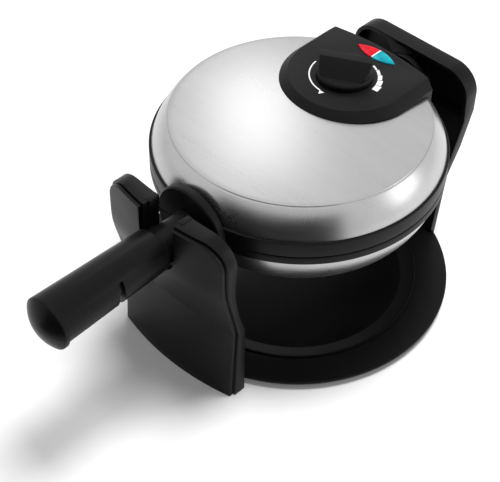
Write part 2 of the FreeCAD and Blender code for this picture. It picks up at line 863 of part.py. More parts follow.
def make_grips():
    back = [
        ("grip_back_r - grip_edge", "-grip_back"),
        ("grip_back_r", "-grip_back - grip_edge"),
    ]
    shoulder = "(grip_end - grip_dome)"
    rim = grip_radius(shoulder)
    nose = [
        (rim, "-" + shoulder, "-(%s^2 + grip_dome^2) / (2 * grip_dome)" % rim),
        ("0", "-grip_end"),
        ("0", "-grip_end + grip_wall_end"),
    ]
    upper_bore = "core_r + core_gap"
    upper = body("upper_grip", "axis_z")
    outline = [(upper_bore, "-grip_back")] + back + nose + [(upper_bore, "-grip_end + grip_wall_end")]
    turn(upper, sketch(upper, "XY_Plane", outline), 180, other_way=True)
    lower = body("lower_grip", "axis_z - split_gap")
    lower_bore = "core_r + screw_hole_gap"
    turn(lower, sketch(lower, "XY_Plane", [(lower_bore, "-grip_back")] + back + [
        (grip_radius("lock_slot_back"), "-lock_slot_back"),
        (lower_bore, "-lock_slot_back"),
    ]), 180)
    lock = body("handle_lock", "axis_z - split_gap")
    lock_back = "(lock_slot_back + lock_slot)"
    lock_bore = "core_r + core_gap"
    turn(lock, sketch(lock, "XY_Plane", [
        (lock_bore, "-" + lock_back),
        (grip_radius(lock_back), "-" + lock_back),
    ] + nose + [(lock_bore, "-grip_end + grip_wall_end")]), 180)
    node(rod("core_r", "core_end - core_back", "0", "-core_end", "axis_z", "Y"), "handle_core")


# Rear yoke, trunnion and lid hinge
def make_yoke():
    made = body("rear_yoke", "axis_z")
    disc = sketch(made, "XZ_Plane", circles=[("0", "0", "yoke_r")], offset="-yoke_back")
    pad(made, disc, "yoke_t")
    # the lug's straight sides meet its round eye half a right angle up
    reach = "eye_r * cos(45)"
    lug = [
        ("lug_front", "-yoke_drop"),
        ("yoke_back", "-yoke_drop"),
        ("yoke_back", "yoke_drop"),
        ("hinge_y + " + reach, "hinge_rise + " + reach, "eye_r"),
        ("hinge_y - " + reach, "hinge_rise + " + reach, "eye_r"),
        ("hinge_y - " + reach, "hinge_rise - " + reach),
        ("lug_front", "yoke_drop - lug_step"),
    ]
    for low in ("lug_in", "-lug_out"):
        pad(made, sketch(made, "YZ_Plane", lug, offset=low), "lug_out - lug_in")
    pad(made, sketch(made, "XY_Plane", [
        ("-lug_out", "rim_in"),
        ("lug_out", "rim_in"),
        ("lug_out", "yoke_front"),
        ("-lug_out", "yoke_front"),
    ], offset="-yoke_drop"), "yoke_drop - part_gap")
    clear_of_iron(made, -1)
    sink(made, sketch(made, "XZ_Plane", circles=[("0", "0", "trunnion_r + screw_hole_gap")]))
    sink(made, sketch(made, "YZ_Plane", circles=[("hinge_y", "hinge_rise", "pin_r + screw_hole_gap")]))
    shaft_long = "trunnion_back - trunnion_front"
    node(rod("trunnion_r", shaft_long, "0", "trunnion_front", "axis_z", "Y"), "rear_trunnion")
    clip = body("trunnion_clip", "axis_z")
    ring = [("0", "0", "clip_r"), ("0", "0", "trunnion_r + screw_hole_gap")]
    pad(clip, sketch(clip, "XZ_Plane", circles=ring, offset="-yoke_back - clip_t"), "clip_t")
    node(rod("pin_r", "2 * pin_half", "-pin_half", "hinge_y", "axis_z + hinge_rise", "X"), "hinge_pin")


def make_leaf():
    """The lid's hinge leaf: a plate bent to the dome's bevel, with a knuckle on the pin."""
    made = body("hinge_leaf", "axis_z")
    outer = envelope(1, "leaf_t")
    knuckle = sketch(made, "YZ_Plane", circles=[("hinge_y", "hinge_rise", "eye_r - fit")])
    pad(made, knuckle, "2 * leaf_half", "Symmetric")
    pad(made, sketch(made, "YZ_Plane", [
        (outer[3][0], "band_up + 2 * fit", "bevel_r"),
        (outer[4][0], outer[4][1]),
        ("crease_r - leaf_t", outer[4][1]),
        ("rim_in", "band_up + 2 * fit"),
    ]), "2 * leaf_half", "Symmetric")
    clear_of_iron(made, 1)
    sink(made, sketch(made, "YZ_Plane", circles=[("hinge_y", "hinge_rise", "pin_r + pin_run")]))


# Control panel, lenses, lamps, thermostat and knob
def panel_outline(inset, rear_inset):
    """A half circle in front, straight sides and a bowed rear edge, all drawn in by an inset."""
    half = "(panel_half - %s)" % inset
    rear_r = "(panel_rear_r - %s)" % rear_inset
    corner_y = "panel_back - panel_rear_r + sqrt(%s^2 - %s^2)" % (rear_r, half)
    return [
        (half, corner_y, rear_r),
        ("-" + half, corner_y),
        ("-" + half, "panel_shoulder", half),
        ("0", "panel_shoulder - " + half, half),
        (half, "panel_shoulder"),
    ]


def lens_outline(gap):
    curve = "(lens_half^2 + lens_w^2) / (2 * lens_w) + %s" % gap
    return [
        ("-lens_half - %s" % gap, "lens_y", curve),
        ("lens_half + %s" % gap, "lens_y", curve),
    ]


def make_panel():
    made = body("control_panel", "axis_z")
    outline = sketch(made, "XY_Plane", panel_outline("0", "0"), offset="panel_skirt")
    pad(made, outline, "panel_top - panel_skirt")
    top = size("panel_top + axis_z")
    back = size("panel_back")

    def top_edge(edge):
        box = edge.BoundBox
        return abs(box.ZMin - top) < NEAR and box.ZLength < NEAR and box.YMax < back - NEAR
    dress(made, "Chamfer", "panel_bevel", lambda edge: top_edge(edge.transformed(made.Placement.toMatrix())))
    inside = panel_outline("panel_side_wall", "panel_wall")
    sink(made, sketch(made, "XY_Plane", inside, offset="panel_skirt"), "panel_top - panel_skirt - panel_wall",
         towards_normal=True)
    clear_of_iron(made, 1)
    sink(made, sketch(made, "XY_Plane", lens_outline("screw_hole_gap")))
    sink(made, sketch(made, "XY_Plane", circles=[("0", "knob_y", "shaft_hole_r")]))


def make_lenses():
    curve = "(lens_half^2 + lens_w^2) / (2 * lens_w)"
    for label, side in (("power_lens", -1), ("ready_lens", 1)):
        made = body(label, "axis_z")
        tip = "%d * lens_half" % side
        cut = "%d * lens_split / 2" % side
        turned = curve if side < 0 else "-(%s)" % curve
        half = [
            (tip, "lens_y", turned),
            (cut, "lens_y - lens_w"),
            (cut, "lens_y + lens_w", turned),
        ]
        pad(made, sketch(made, "XY_Plane", half, offset="panel_top - lens_deep"), "lens_deep + lens_proud")
    lamp = body("lamp_holder", "axis_z")
    pad(lamp, sketch(lamp, "XY_Plane", [
        ("-lamp_half", "lens_y - lamp_w"),
        ("lamp_half", "lens_y - lamp_w"),
        ("lamp_half", "lens_y + lamp_w"),
        ("-lamp_half", "lens_y + lamp_w"),
    ], offset="panel_top - panel_wall - lamp_t"), "lamp_t")


def make_thermostat():
    made = body("thermostat", "axis_z")
    low = "pan_z + plate_t"
    pad(made, sketch(made, "XY_Plane", [
        ("-thermostat_x / 2", "knob_y - thermostat_y / 2"),
        ("thermostat_x / 2", "knob_y - thermostat_y / 2"),
        ("thermostat_x / 2", "knob_y + thermostat_y / 2"),
        ("-thermostat_x / 2", "knob_y + thermostat_y / 2"),
    ], offset=low), "thermostat_tall")
    pad(made, sketch(made, "XY_Plane", circles=[("0", "knob_y", "thermostat_neck_r")],
                     offset=low + " + thermostat_tall"), "thermostat_neck")
    bore = sketch(made, "XY_Plane", circles=[("0", "knob_y", "shaft_r + shaft_run")],
                  offset=low + " + thermostat_tall + thermostat_neck")
    sink(made, bore, low + " + thermostat_tall + thermostat_neck - shaft_low + knob_gap")


def make_knob():
    """A skirted disc with a finger bar whose sides slope from a narrow ridge down to the disc."""
    made = body("dial_knob", "axis_z + panel_top + knob_gap")
    turn(made, sketch(made, "XZ_Plane", [
        ("0", "0"),
        ("knob_r", "0"),
        ("knob_r", "knob_skirt"),
        ("knob_r - knob_shoulder", "knob_disc"),
        ("knob_r - knob_bar_in", "knob_disc"),
        ("knob_r - knob_bar_in", "knob_tall"),
        ("0", "knob_tall"),
    ]))
    for side in ("1", "-1"):
        sink(made, sketch(made, "YZ_Plane", [
            (side + " * knob_ridge_half", "knob_tall"),
            (side + " * knob_foot_half", "knob_disc"),
            (side + " * 2 * knob_r", "knob_disc"),
            (side + " * 2 * knob_r", "knob_tall"),
        ]))
    sink(made, sketch(made, "XY_Plane", circles=[("0", "0", "shaft_r + screw_hole_gap")]), "shaft_top",
         towards_normal=True)
    made.setExpression("Placement.Base.y", bound("knob_y"))
    made.setExpression("Placement.Rotation.Angle", bound("knob_rest"))
    length = "panel_top + knob_gap + shaft_top - shaft_low"
    node(rod("shaft_r", length, "0", "knob_y", "axis_z + shaft_low"), "knob_shaft")


make_base()
make_feet()
make_tray()
make_post()
make_saddle()
make_tower()
make_bearing()
make_gland()
for half_side in (-1, 1):
    make_dome(half_side)
    make_rim(half_side)
    make_plate(half_side)
    make_heater(half_side)
    make_reflector(half_side)
    make_fasteners(half_side)
    make_collar(half_side)
make_grips()
make_yoke()
make_leaf()
make_panel()
make_lenses()
make_thermostat()
make_knob()
doc.recompute()

# Every object has to be sound before anything is written.
for made in doc.Objects:
    if "Invalid" in made.State or "Error" in made.State:
        raise RuntimeError("%s is %s" % (made.Label, made.State))
for made in nodes:
    if made.Shape.isNull() or not made.Shape.isValid():
        raise RuntimeError("%s has no sound shape" % made.Label)

os.makedirs("parts", exist_ok=True)
for made in nodes:
    made.Shape.exportStep("parts/%s.step" % made.Label)
    print("%-20s %d solids %10.0f mm3" % (made.Label, len(made.Shape.Solids), made.Shape.Volume))
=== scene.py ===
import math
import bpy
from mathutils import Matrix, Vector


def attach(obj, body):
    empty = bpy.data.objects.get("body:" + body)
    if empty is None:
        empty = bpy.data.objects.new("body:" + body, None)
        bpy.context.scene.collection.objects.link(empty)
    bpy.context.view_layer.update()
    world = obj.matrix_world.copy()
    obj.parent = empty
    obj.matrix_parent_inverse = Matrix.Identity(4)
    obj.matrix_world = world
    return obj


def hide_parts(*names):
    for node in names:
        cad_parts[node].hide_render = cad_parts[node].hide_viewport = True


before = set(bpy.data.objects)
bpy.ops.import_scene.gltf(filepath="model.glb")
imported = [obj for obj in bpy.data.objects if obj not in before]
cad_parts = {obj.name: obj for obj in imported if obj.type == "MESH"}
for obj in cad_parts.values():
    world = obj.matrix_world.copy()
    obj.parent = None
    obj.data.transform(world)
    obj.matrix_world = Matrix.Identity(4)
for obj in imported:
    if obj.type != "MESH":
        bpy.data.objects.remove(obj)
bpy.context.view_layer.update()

# %% [markdown]
# A round flip-over waffle maker: a steel-clad iron that turns with its handle between a front post and a
# rear tower. The solids are loaded above, already at their real size and place, in metres.

MM = 0.001
AXIS_Z = 120.0

# %% [markdown]
# Every material below comes from one small function that adds a node, sets it up and links it. Colours are
# written as sRGB hex, the way a colour picker shows them, and one function turns them into the linear
# numbers that the renderer works in. Noise mostly keeps to the middle of its range, so tones and gloss are
# spread over that part alone.

# %% Helpers for materials
NOISE_LOW, NOISE_HIGH = 0.3, 0.7


def linear(hex_colour):
    """An sRGB hex colour as linear RGBA."""
    parts = [int(hex_colour[i:i + 2], 16) / 255 for i in (1, 3, 5)]
    return [p / 12.92 if p <= 0.04045 else ((p + 0.055) / 1.055) ** 2.4 for p in parts] + [1.0]


def add(tree, kind, links=(), values=(), **settings):
    """Adds a node, gives its settings and socket values, and links its inputs: (socket, node, output)."""
    made = tree.nodes.new("ShaderNode" + kind)
    for name, value in settings.items():
        setattr(made, name, value)
    for socket, value in values:
        made.inputs[socket].default_value = value
    for socket, source, output in links:
        tree.links.new(source.outputs[output], made.inputs[socket])
    return made


def blank(name):
    """A new material with an empty node tree, and that tree."""
    made = bpy.data.materials.new(name)
    made.use_nodes = True
    made.node_tree.nodes.clear()
    return made, made.node_tree


def finished(tree, shader):
    """Links a shader to the material's output."""
    add(tree, "OutputMaterial", [("Surface", shader, 0)])


def toned(tree, noise, dark, light):
    """A colour that follows noise from a dark tone to a light one."""
    made = add(tree, "ValToRGB", [(0, noise, 0)])
    low, high = made.color_ramp.elements
    low.position, low.color = NOISE_LOW, linear(dark)
    high.position, high.color = NOISE_HIGH, linear(light)
    return made


def spread(tree, noise, low, high):
    """A number that follows noise from a low value to a high one."""
    return add(tree, "MapRange", [("Value", noise, 0)],
               [("From Min", NOISE_LOW), ("From Max", NOISE_HIGH), ("To Min", low), ("To Max", high)])


print("material helpers ready")

# %% [markdown]
# The domes are stainless sheet brushed in one direction before pressing. Long thin scratches catch the light,
# so the finish is a metal with streaks: noise squeezed hard across the brushing and stretched along it.
# Real scratches are about 0.1 mm apart, too fine for this picture, so they are drawn about 0.9 mm apart.

# %% Brushed stainless
SCRATCH_APART_MM, SCRATCH_LONG_MM = 0.9, 70.0
CLOUDS_PER_M = (8.0, 60.0, 60.0)
STEEL_SMOOTHEST, STEEL_ROUGHEST = 0.26, 0.32


def make_brushed_stainless():
    made, tree = blank("brushed_stainless_sheet")
    place = add(tree, "TexCoord")
    across = 1 / (SCRATCH_APART_MM * MM)
    stretch = (1 / (SCRATCH_LONG_MM * MM), across, across)
    along = add(tree, "Mapping", [("Vector", place, "Object")], [("Scale", stretch)])
    scratch = add(tree, "TexNoise", [("Vector", along, 0)],
                  [("Scale", 1.0), ("Detail", 4.0), ("Roughness", 0.7)])
    broad = add(tree, "Mapping", [("Vector", place, "Object")], [("Scale", CLOUDS_PER_M)])
    cloud = add(tree, "TexNoise", [("Vector", broad, 0)], [("Scale", 1.0), ("Detail", 2.0)])
    both = add(tree, "Math", [(0, scratch, 0), (1, cloud, 0)], operation="ADD")
    half = add(tree, "Math", [(0, both, 0)], [(1, 0.5)], operation="MULTIPLY")
    tone = toned(tree, half, "#b2b2b2", "#bebebe")
    gloss = spread(tree, half, STEEL_SMOOTHEST, STEEL_ROUGHEST)
    relief = add(tree, "Bump", [("Height", scratch, 0)], [("Strength", 0.03), ("Distance", 0.0003)])
    shader = add(tree, "BsdfPrincipled",
                 [("Base Color", tone, 0), ("Roughness", gloss, 0), ("Normal", relief, 0)],
                 [("Metallic", 1.0)])
    finished(tree, shader)
    return made


brushed_stainless = make_brushed_stainless()
print("made", brushed_stainless.name)

# %% [markdown]
# Most black pieces are moulded plastic with a fine spark-eroded grain, which turns a mirror shine into a soft
# satin one. A fine noise, about 0.7 mm across, drives a faint bump, and a broad one makes the gloss uneven,
# as on handled plastic. The same recipe with other numbers gives the rubber, the enamel, the non-stick coat,
# the small metal pieces and the printing ink.

# %% Grained finishes
PATCH_MM, GLOSS_LESS, GLOSS_MORE = 45.0, 0.04, 0.05


def make_grained(name, dark, light, rough, grain_mm, bump, metallic=0.0, shine=0.13):
    made, tree = blank(name)
    place = add(tree, "TexCoord")
    grain = add(tree, "TexNoise", [("Vector", place, "Object")],
                [("Scale", 1 / (grain_mm * MM)), ("Detail", 2.0)])
    patch = add(tree, "TexNoise", [("Vector", place, "Object")],
                [("Scale", 1 / (PATCH_MM * MM)), ("Detail", 1.0)])
    tone = toned(tree, grain, dark, light)
    gloss = spread(tree, patch, rough - GLOSS_LESS, rough + GLOSS_MORE)
    relief = add(tree, "Bump", [("Height", grain, 0)], [("Strength", bump), ("Distance", 0.0002)])
    shader = add(tree, "BsdfPrincipled",
                 [("Base Color", tone, 0), ("Roughness", gloss, 0), ("Normal", relief, 0)],
                 [("Metallic", metallic), ("Specular IOR Level", shine)])
    finished(tree, shader)
    return made


# each finish: its dark and light tone, roughness, grain in mm and bump
satin_black = make_grained("satin_black_moulded_plastic", "#0a0a0b", "#121213", 0.38, 0.7, 0.08)
panel_black = make_grained("fine_grain_black_plastic", "#0d0d0e", "#151516", 0.45, 0.5, 0.10)
grip_black = make_grained("polished_black_phenolic", "#090909", "#101011", 0.33, 0.9, 0.05)
tray_black = make_grained("black_enamelled_steel", "#080809", "#0e0e0f", 0.34, 1.4, 0.05)
foot_rubber = make_grained("black_moulded_rubber", "#141414", "#1e1e1e", 0.75, 0.8, 0.2)
non_stick = make_grained("non_stick_coated_aluminium", "#161617", "#212123", 0.38, 0.6, 0.15)
turned_steel = make_grained("turned_steel", "#9a9a98", "#b9b9b7", 0.32, 0.5, 0.05, metallic=1.0)
bright_sheet = make_grained("bright_aluminium_sheet", "#c3c4c6", "#d8d9da", 0.3, 2.0, 0.05, metallic=1.0)
oiled_brass = make_grained("oiled_brass", "#a98a45", "#c4a35a", 0.35, 0.8, 0.05, metallic=1.0)
heatproof_tan = make_grained("heatproof_moulded_resin", "#8f7c5c", "#a3906f", 0.6, 1.0, 0.1)
printed_white = make_grained("printed_white_ink", "#e9e9e6", "#f6f6f3", 0.5, 0.6, 0.02)
print("made the grained blacks, metals and ink")

# %% [markdown]
# The two lamp windows are clear tinted plastic over a glowing lamp. A cloudy noise a few millimetres across
# stands for the uneven glow behind the window.

# %% Tinted lenses
GLOW_MM, GLOW = 7.0, 0.3


def make_lens(name, deep, bright):
    made, tree = blank(name)
    place = add(tree, "TexCoord")
    cloud = add(tree, "TexNoise", [("Vector", place, "Object")],
                [("Scale", 1 / (GLOW_MM * MM)), ("Detail", 1.0)])
    tone = toned(tree, cloud, deep, bright)
    shader = add(tree, "BsdfPrincipled", [("Base Color", tone, 0), ("Emission Color", tone, 0)],
                 [("Roughness", 0.2), ("Emission Strength", GLOW), ("Specular IOR Level", 0.15)])
    finished(tree, shader)
    return made


red_lens = make_lens("red_tinted_lens", "#b00018", "#d6021f")
cyan_lens = make_lens("cyan_tinted_lens", "#007f8f", "#00a3b0")
print("made", red_lens.name, "and", cyan_lens.name)

# %% [markdown]
# Most pieces here are round, so most are turned: a single point is pulled out step by step into a profile, as
# if drawing half the section, and the Spin tool sweeps it round. Corners on real mouldings are never sharp,
# so each profile is softened first: every corner becomes a short curve that will catch a line of light.
# A profile that meets its axis starts and ends a hair off it, so that no face is squeezed to nothing.

# %% Helpers for shapes
POLE_R = 0.02
ROUND = 192
FLAT_DEGREES = 0.6


def alone(piece=None):
    """Leaves nothing selected, or only one piece."""
    if bpy.context.object and bpy.context.object.mode != "OBJECT":
        bpy.ops.object.mode_set(mode="OBJECT")
    bpy.ops.object.select_all(action="DESELECT")
    if piece:
        piece.select_set(True)
        bpy.context.view_layer.objects.active = piece


def softened(points, reach, steps=4):
    """A profile whose inner corners are rounded over a short reach."""
    line = [Vector(p) for p in points]
    out = [line[0]]
    for before, corner, after in zip(line, line[1:], line[2:]):
        back = before - corner
        ahead = after - corner
        cut = min(reach, 0.45 * back.length, 0.45 * ahead.length)
        first = corner + back.normalized() * cut
        last = corner + ahead.normalized() * cut
        for i in range(steps + 1):
            t = i / steps
            out.append(first * (1 - t) ** 2 + corner * 2 * t * (1 - t) + last * t ** 2)
    return [tuple(p) for p in out + [line[-1]]]


def bowed(start, stop, rise, steps):
    """Points between two profile points along a bow that swells to the right of the way travelled."""
    a, b = Vector(start), Vector(stop)
    way = (b - a).normalized()
    right = Vector((way.y, -way.x))
    shares = [i / steps for i in range(steps + 1)]
    return [tuple(a.lerp(b, t) + right * rise * 4 * t * (1 - t)) for t in shares]


def point(name):
    """A new piece of one point at the origin, open for editing."""
    alone()
    bpy.ops.mesh.primitive_plane_add(size=MM)
    piece = bpy.context.object
    piece.name = name
    bpy.ops.object.mode_set(mode="EDIT")
    bpy.ops.mesh.merge(type="CENTER")
    return piece


def pull(way):
    """Pulls the selection out by a way in metres, and leaves edges or faces behind it."""
    bpy.ops.mesh.extrude_region_move(TRANSFORM_OT_translate={"value": way})


def closed():
    """Turns all faces outwards and ends the editing."""
    bpy.ops.mesh.select_all(action="SELECT")
    bpy.ops.mesh.normals_make_consistent(inside=False)
    bpy.ops.object.mode_set(mode="OBJECT")


def bearing_way(degrees):
    """The level direction at a bearing, counted from +X towards +Y."""
    return Vector((math.cos(math.radians(degrees)), math.sin(math.radians(degrees)), 0))


def turned(name, profile, about="Z", steps=160, half=None):
    """A profile in mm of (radius, place along the axis), swept round Z, or round the handle's line."""
    piece = point(name)
    spots = [Vector((r, 0, h)) if about == "Z" else Vector((r, h, AXIS_Z)) for r, h in profile]
    bpy.ops.transform.translate(value=spots[0] * MM)
    for here, ahead in zip(spots, spots[1:]):
        pull((ahead - here) * MM)
    bpy.ops.mesh.select_all(action="SELECT")
    axis = (0, 0, 1) if about == "Z" else (0, 1, 0)
    centre = (0, 0, 0) if about == "Z" else (0, 0, AXIS_Z * MM)
    bpy.ops.mesh.spin(steps=steps, angle=2 * math.pi, center=centre, axis=axis)
    bpy.ops.mesh.select_all(action="SELECT")
    bpy.ops.mesh.remove_doubles(threshold=0.01 * MM)
    if half:
        level, keep_upper = half
        bpy.ops.mesh.select_all(action="SELECT")
        bpy.ops.mesh.bisect(plane_co=(0, 0, level * MM), plane_no=(0, 0, 1), use_fill=True,
                            clear_inner=keep_upper, clear_outer=not keep_upper)
    closed()
    return piece


def block(name, low, high):
    """A box between two corners in mm."""
    alone()
    middle = (Vector(low) + Vector(high)) / 2 * MM
    bpy.ops.mesh.primitive_cube_add(size=1, location=middle)
    piece = bpy.context.object
    piece.name = name
    piece.dimensions = (Vector(high) - Vector(low)) * MM
    bpy.ops.object.transform_apply(location=True, rotation=True, scale=True)
    return piece


def cut_by(piece, tool, operation="DIFFERENCE"):
    """Cuts a piece with another one, which is then thrown away."""
    alone(piece)
    modifier = piece.modifiers.new("cut", "BOOLEAN")
    modifier.object = tool
    modifier.operation = operation
    modifier.solver = "EXACT"
    bpy.ops.object.modifier_apply(modifier=modifier.name)
    bpy.data.objects.remove(tool, do_unlink=True)
    return piece


def smoothed(piece, degrees=30):
    """Shades a piece smoothly except where it turns sharply."""
    alone(piece)
    bpy.ops.object.shade_smooth_by_angle(angle=math.radians(degrees))
    return piece


def eased(piece, width_mm, degrees=35, segments=3):
    """Rounds a piece's hard edges a little, and shades the rest smoothly."""
    alone(piece)
    modifier = piece.modifiers.new("edge", "BEVEL")
    modifier.width = width_mm * MM
    modifier.segments = segments
    modifier.limit_method = "ANGLE"
    modifier.angle_limit = math.radians(degrees)
    bpy.ops.object.modifier_apply(modifier=modifier.name)
    return smoothed(piece, degrees)


def placed(piece, body, finish, *nodes):
    """Gives a finished piece its material and body, and lets it stand for solids."""
    piece.data.materials.clear()
    piece.data.materials.append(finish)
    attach(piece, body)
    if nodes:
        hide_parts(*nodes)
    print("made %-22s %6d faces" % (piece.name, len(piece.data.polygons)))


def refined(node, name, body, finish, edge_mm, degrees=35):
    """A copy of a solid with its flat faces joined up and its edges eased."""
    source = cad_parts[node]
    alone()
    piece = bpy.data.objects.new(name, source.data.copy())
    bpy.context.scene.collection.objects.link(piece)
    alone(piece)
    bpy.ops.object.mode_set(mode="EDIT")
    bpy.ops.mesh.select_all(action="SELECT")
    bpy.ops.mesh.remove_doubles(threshold=0.002 * MM)
    bpy.ops.mesh.dissolve_limited(angle_limit=math.radians(FLAT_DEGREES))
    bpy.ops.object.mode_set(mode="OBJECT")
    if piece.data.has_custom_normals:
        bpy.ops.mesh.customdata_custom_splitnormals_clear()
    placed(eased(piece, edge_mm, degrees), body, finish, node)


print("shape helpers ready")

# %% [markdown]
# The two domes are pressed shells. The profile climbs a slightly swelling bevel from the rim, turns a crisp
# crease and then runs over a shallow crown, and comes back 1 mm deeper so that the sheet has its thickness.
# The crease itself is a fine scored line, which reads as a thin dark ring round the crown.

# %% Domes
RIM_R, CREASE_R, CREASE_RISE, CROWN_RISE, SKIN, DOME_LIP = 103.4, 91.8, 33.0, 4.5, 1.0, 1.2
BAND_UP, BAND_LOW, SEAT_GAP = 12.2, 6.6, 0.1
BEVEL_R, CROWN_SWELL = 55.0, 1.13
# the scored line's points, as steps outwards and upwards from the crease
SCORE = [(0.2, -0.36), (-0.25, -0.6), (-0.55, 0.03)]


def dome_profile(side, band):
    """The dome's section: bevel, scored crease and crown, then back along the inside."""
    seat = band + SEAT_GAP
    chord = math.hypot(RIM_R - CREASE_R, CREASE_RISE - band)
    swell = BEVEL_R - math.sqrt(BEVEL_R ** 2 - chord ** 2 / 4)
    bevel = bowed((RIM_R, seat), (CREASE_R, CREASE_RISE), swell, 16)[:-1]
    crown = bowed((CREASE_R, CREASE_RISE), (POLE_R, CREASE_RISE + CROWN_RISE), CROWN_SWELL, 24)
    score = [(CREASE_R + r, CREASE_RISE + h) for r, h in SCORE]
    line = softened(bevel + score + crown[1:], 0.12, 3)
    inside = [(r - SKIN if r > SKIN * 2 else POLE_R, h - SKIN) for r, h in reversed(bevel + crown)]
    inside[-1] = (RIM_R - DOME_LIP, seat)
    return [(r, AXIS_Z + side * h) for r, h in line + inside + line[:1]]


def make_dome(name, side, band, body, node):
    piece = turned(name, dome_profile(side, band), steps=ROUND)
    placed(smoothed(piece, 25), body, brushed_stainless, node)


make_dome("steel_dome_upper", 1, BAND_UP, "lid", "upper_dome")
make_dome("steel_dome_lower", -1, BAND_LOW, "iron", "lower_dome")

# %% [markdown]
# Each half has a black rim band that the steel sits on. The outer corners are softened, so that the thin dark
# joint between the two bands shows between two fine lines of light.

# %% Rim bands
BAND_R, BAND_SEAM_R, RIM_IN, PART_GAP = 105.2, 100.0, 97.4, 0.3
LEDGE_R, LEDGE_LOW, LEDGE_TOP = 93.0, 3.6, 6.1


def make_band(name, side, band, body, node):
    ring = [
        (BAND_SEAM_R, PART_GAP), (BAND_R, PART_GAP), (BAND_R, band), (RIM_IN, band), (RIM_IN, LEDGE_TOP),
        (LEDGE_R, LEDGE_TOP), (LEDGE_R, LEDGE_LOW), (RIM_IN, LEDGE_LOW), (RIM_IN, PART_GAP),
        (BAND_SEAM_R, PART_GAP),
    ]
    piece = turned(name, [(r, AXIS_Z + side * h) for r, h in softened(ring, 0.8)], steps=ROUND)
    placed(smoothed(piece), body, satin_black, node)


make_band("rim_band_upper", 1, BAND_UP, "lid", "upper_rim")
make_band("rim_band_lower", -1, BAND_LOW, "iron", "lower_rim")

# %% [markdown]
# The base is a thin dished plate with a rounded outer rim, and the drip tray is a second dish that lies in
# it. Both are turned. The base is then notched at the back for the tower's leg, and only what lies inside a
# very large cylinder is kept at the front, so that its edge follows the bowed back of the post.

# %% Base and drip tray
BASE_R, BASE_FOOT_R, BASE_LOW, BASE_EDGE, BASE_TOP = 118.0, 113.0, 1.4, 4.8, 7.0
DISH_R, DISH_Z, WELL_R, WELL_Z = 95.1, 6.0, 85.2, 2.9
LEG_HALF, LEG_FRONT, PAST_BASE = 54.1, 100.9, 130.0
POST_BOW, POST_SIDE = 300.0, 114.35
TRAY_R, TRAY_IN_R, TRAY_FOOT_R, TRAY_FLOOR_R = 93.9, 92.6, 84.0, 82.7
TRAY_LOW, TRAY_FLOOR, TRAY_EDGE, TRAY_TOP = 2.92, 4.2, 6.0, 6.6


def make_base():
    profile = softened([
        (POLE_R, BASE_LOW), (BASE_FOOT_R, BASE_LOW), (BASE_R, BASE_EDGE), (BASE_R, BASE_TOP),
        (DISH_R, DISH_Z), (WELL_R, WELL_Z), (POLE_R, WELL_Z),
    ], 1.2)
    piece = turned("base_plate", profile, steps=ROUND)
    cut_by(piece, block("tower_notch", (-LEG_HALF, LEG_FRONT, -5), (LEG_HALF, PAST_BASE, 20)))
    alone()
    bpy.ops.mesh.primitive_cylinder_add(vertices=720, radius=POST_BOW * MM, depth=0.1,
                                        location=(0, (POST_BOW - POST_SIDE) * MM, 0))
    cut_by(piece, bpy.context.object, "INTERSECT")
    placed(smoothed(piece), "stand", satin_black, "stand_base")


def make_tray():
    profile = softened([
        (POLE_R, TRAY_LOW), (TRAY_FOOT_R, TRAY_LOW), (TRAY_R, TRAY_EDGE), (TRAY_R, TRAY_TOP),
        (TRAY_IN_R, TRAY_TOP), (TRAY_FLOOR_R, TRAY_FLOOR), (POLE_R, TRAY_FLOOR),
    ], 0.6)
    piece = turned("drip_dish", profile, steps=ROUND)
    placed(smoothed(piece), "drip_tray", tray_black, "drip_tray")


make_base()
make_tray()

# %% [markdown]
# The front post is one bowed wall with a cover let into its front. Half of its front is a grid whose rows are
# laid at measured heights: each row runs from the notch or the middle out to the edge, and its points take
# their depth from a curve through six measured levels. Below the valley the face is straight, above it the
# curve swells out to the ears. Mirror makes the other half, and pulling the sheet back gives the thickness.

# %% Front post curves
# height, then the middle and the bow radius of the front, then those of the back
POST_LEVELS = [
    (0.0, 129.2, 208.0, 114.5, 300.0),
    (62.0, 122.6, 380.0, 114.5, 300.0),
    (82.6, 129.1, 260.0, 119.5, 400.0),
    (105.0, 136.3, 190.0, 122.0, 500.0),
    (127.0, 137.2, 184.0, 120.5, 500.0),
    (152.0, 137.2, 184.0, 120.5, 500.0),
]
FRONT, BACK = 1, 3
POST_HALF, POST_TOP, EAR_R, NOTCH_HALF = 55.4, 148.0, 20.0, 14.4
COVER_T, COVER_GAP, COVER_INSET = 3.2, 0.3, 1.8


def post_y(x, z, face):
    """Where the post's front or back lies: straight below the valley, a smooth curve above it."""
    knots = [(level[0], level[face] - level[face + 1] + math.sqrt(level[face + 1] ** 2 - x ** 2))
             for level in POST_LEVELS]
    if z <= knots[1][0]:
        return -(knots[0][1] + (knots[1][1] - knots[0][1]) * z / knots[1][0])
    knots = knots[1:]
    i = max(k for k in range(len(knots) - 1) if knots[k][0] <= z)

    def slope(k):
        k0, k1 = max(k - 1, 0), min(k + 1, len(knots) - 1)
        return (knots[k1][1] - knots[k0][1]) / (knots[k1][0] - knots[k0][0])
    span = knots[i + 1][0] - knots[i][0]
    t = (z - knots[i][0]) / span
    return -((2 * t ** 3 - 3 * t ** 2 + 1) * knots[i][1] + (t ** 3 - 2 * t ** 2 + t) * span * slope(i)
             + (3 * t ** 2 - 2 * t ** 3) * knots[i + 1][1] + (t ** 3 - t ** 2) * span * slope(i + 1))


def outer_x(z, inset):
    """Half the post's width at a height: straight sides, then the rounded ear."""
    rise = max(z - POST_TOP + EAR_R, 0)
    if rise == 0:
        return POST_HALF - inset
    return POST_HALF - EAR_R + math.sqrt(max((EAR_R - inset) ** 2 - rise ** 2, 0))


